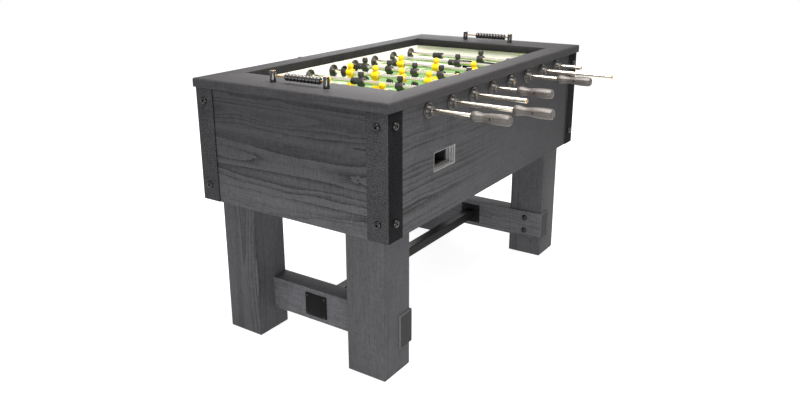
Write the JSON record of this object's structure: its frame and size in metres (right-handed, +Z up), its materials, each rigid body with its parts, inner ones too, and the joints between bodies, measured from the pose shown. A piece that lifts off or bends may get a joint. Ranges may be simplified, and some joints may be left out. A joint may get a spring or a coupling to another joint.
{
  "type": "foosball table",
  "caption": "Table football game with sliding, spinning rods of yellow and black figures over a green field, in a charcoal wood cabinet on square legs with a steel centre bar.",
  "frame": {"origin": "on the floor, at the centre of the four feet", "axes": "+X along the player rods towards the yellow player's handles, +Y along the table towards the black keeper, +Z up"},
  "size_m": [1.326, 1.431, 0.946],
  "materials": {
    "charcoal_wood": "weathered grain, satin",
    "white_laminate": "smooth matt",
    "field_print": "smooth green with white lines",
    "plain_board": "plain underside board",
    "black_powder": "granular black powder coat",
    "black_steel": "black gloss",
    "bolt_black": "polished black",
    "bearing_black": "moulded black",
    "cup_silver": "silver satin",
    "trough_black": "moulded matt",
    "rod_chrome": "polished",
    "figure_yellow": "moulded gloss",
    "figure_black": "moulded gloss",
    "grip_grey": "moulded satin",
    "bumper_rubber": "ribbed rubber",
    "scorer_metal": "dark plated",
    "bead_black": "moulded gloss",
    "glide_black": "moulded"
  },
  "bodies": {
    "table": {"panel_near": "charcoal_wood", "panel_far": "charcoal_wood", "panel_left": "charcoal_wood", "panel_right": "charcoal_wood", "rail_near": "charcoal_wood", "rail_far": "charcoal_wood", "rail_left": "charcoal_wood", "rail_right": "charcoal_wood", "legs": "charcoal_wood", "stretcher_near": "charcoal_wood", "stretcher_far": "charcoal_wood", "side_liners": "white_laminate", "end_liners": "white_laminate", "playfield": "field_print", "bottom_board": "plain_board", "corner_brackets": "black_powder", "dome_bolts": "bolt_black", "leg_glides": "glide_black", "centre_bar": "black_steel", "bar_plates": "black_steel", "plate_screws": "bolt_black", "rod_bearings": "bearing_black", "ball_return_cups": "cup_silver", "ball_troughs": "trough_black", "serve_cup": "bearing_black", "scorer_frames": "scorer_metal"},
    "beads_near": {"scorer_beads_near": "bead_black"},
    "beads_far": {"scorer_beads_far": "bead_black"},
    "rod_1_carriage": {"rod_1_bumpers": "bumper_rubber"},
    "rod_1": {"rod_1_tube": "rod_chrome", "rod_1_figures": "figure_yellow", "rod_1_handle": "grip_grey"},
    "rod_2_carriage": {"rod_2_bumpers": "bumper_rubber"},
    "rod_2": {"rod_2_tube": "rod_chrome", "rod_2_figures": "figure_yellow", "rod_2_handle": "grip_grey"},
    "rod_3_carriage": {"rod_3_bumpers": "bumper_rubber"},
    "rod_3": {"rod_3_tube": "rod_chrome", "rod_3_figures": "figure_black", "rod_3_handle": "grip_grey"},
    "rod_4_carriage": {"rod_4_bumpers": "bumper_rubber"},
    "rod_4": {"rod_4_tube": "rod_chrome", "rod_4_figures": "figure_yellow", "rod_4_handle": "grip_grey"},
    "rod_5_carriage": {"rod_5_bumpers": "bumper_rubber"},
    "rod_5": {"rod_5_tube": "rod_chrome", "rod_5_figures": "figure_black", "rod_5_handle": "grip_grey"},
    "rod_6_carriage": {"rod_6_bumpers": "bumper_rubber"},
    "rod_6": {"rod_6_tube": "rod_chrome", "rod_6_figures": "figure_yellow", "rod_6_handle": "grip_grey"},
    "rod_7_carriage": {"rod_7_bumpers": "bumper_rubber"},
    "rod_7": {"rod_7_tube": "rod_chrome", "rod_7_figures": "figure_black", "rod_7_handle": "grip_grey"},
    "rod_8_carriage": {"rod_8_bumpers": "bumper_rubber"},
    "rod_8": {"rod_8_tube": "rod_chrome", "rod_8_figures": "figure_black", "rod_8_handle": "grip_grey"}
  },
  "joints": [
    {"name": "rod_1_slide", "type": "slide", "parent": "table", "child": "rod_1_carriage", "axis": [1, 0, 0], "range_m": [-0.08, 0.04]},
    {"name": "rod_1_spin", "type": "hinge", "parent": "rod_1_carriage", "child": "rod_1", "pos_m": [0, -0.49, 0.85], "axis": [1, 0, 0], "continuous": true},
    {"name": "rod_2_slide", "type": "slide", "parent": "table", "child": "rod_2_carriage", "axis": [1, 0, 0], "range_m": [-0.15, 0.146]},
    {"name": "rod_2_spin", "type": "hinge", "parent": "rod_2_carriage", "child": "rod_2", "pos_m": [0, -0.35, 0.85], "axis": [1, 0, 0], "continuous": true},
    {"name": "rod_3_slide", "type": "slide", "parent": "table", "child": "rod_3_carriage", "axis": [1, 0, 0], "range_m": [-0.191, 0.001]},
    {"name": "rod_3_spin", "type": "hinge", "parent": "rod_3_carriage", "child": "rod_3", "pos_m": [0, -0.21, 0.85], "axis": [1, 0, 0], "continuous": true},
    {"name": "rod_4_slide", "type": "slide", "parent": "table", "child": "rod_4_carriage", "axis": [1, 0, 0], "range_m": [-0.039, 0.019]},
    {"name": "rod_4_spin", "type": "hinge", "parent": "rod_4_carriage", "child": "rod_4", "pos_m": [0, -0.07, 0.85], "axis": [1, 0, 0], "continuous": true},
    {"name": "rod_5_slide", "type": "slide", "parent": "table", "child": "rod_5_carriage", "axis": [1, 0, 0], "range_m": [-0.007, 0.051]},
    {"name": "rod_5_spin", "type": "hinge", "parent": "rod_5_carriage", "child": "rod_5", "pos_m": [0, 0.07, 0.85], "axis": [1, 0, 0], "continuous": true},
    {"name": "rod_6_slide", "type": "slide", "parent": "table", "child": "rod_6_carriage", "axis": [1, 0, 0], "range_m": [-0.087, 0.105]},
    {"name": "rod_6_spin", "type": "hinge", "parent": "rod_6_carriage", "child": "rod_6", "pos_m": [0, 0.21, 0.85], "axis": [1, 0, 0], "continuous": true},
    {"name": "rod_7_slide", "type": "slide", "parent": "table", "child": "rod_7_carriage", "axis": [1, 0, 0], "range_m": [-0.272, 0.024]},
    {"name": "rod_7_spin", "type": "hinge", "parent": "rod_7_carriage", "child": "rod_7", "pos_m": [0, 0.35, 0.85], "axis": [1, 0, 0], "continuous": true},
    {"name": "rod_8_slide", "type": "slide", "parent": "table", "child": "rod_8_carriage", "axis": [1, 0, 0], "range_m": [-0.103, 0.017]},
    {"name": "rod_8_spin", "type": "hinge", "parent": "rod_8_carriage", "child": "rod_8", "pos_m": [0, 0.49, 0.85], "axis": [1, 0, 0], "continuous": true},
    {"name": "beads_near_slide", "type": "slide", "parent": "table", "child": "beads_near", "axis": [1, 0, 0], "range_m": [-0.043, 0.0115]},
    {"name": "beads_far_slide", "type": "slide", "parent": "table", "child": "beads_far", "axis": [1, 0, 0], "range_m": [-0.043, 0.0115]}
  ]
}
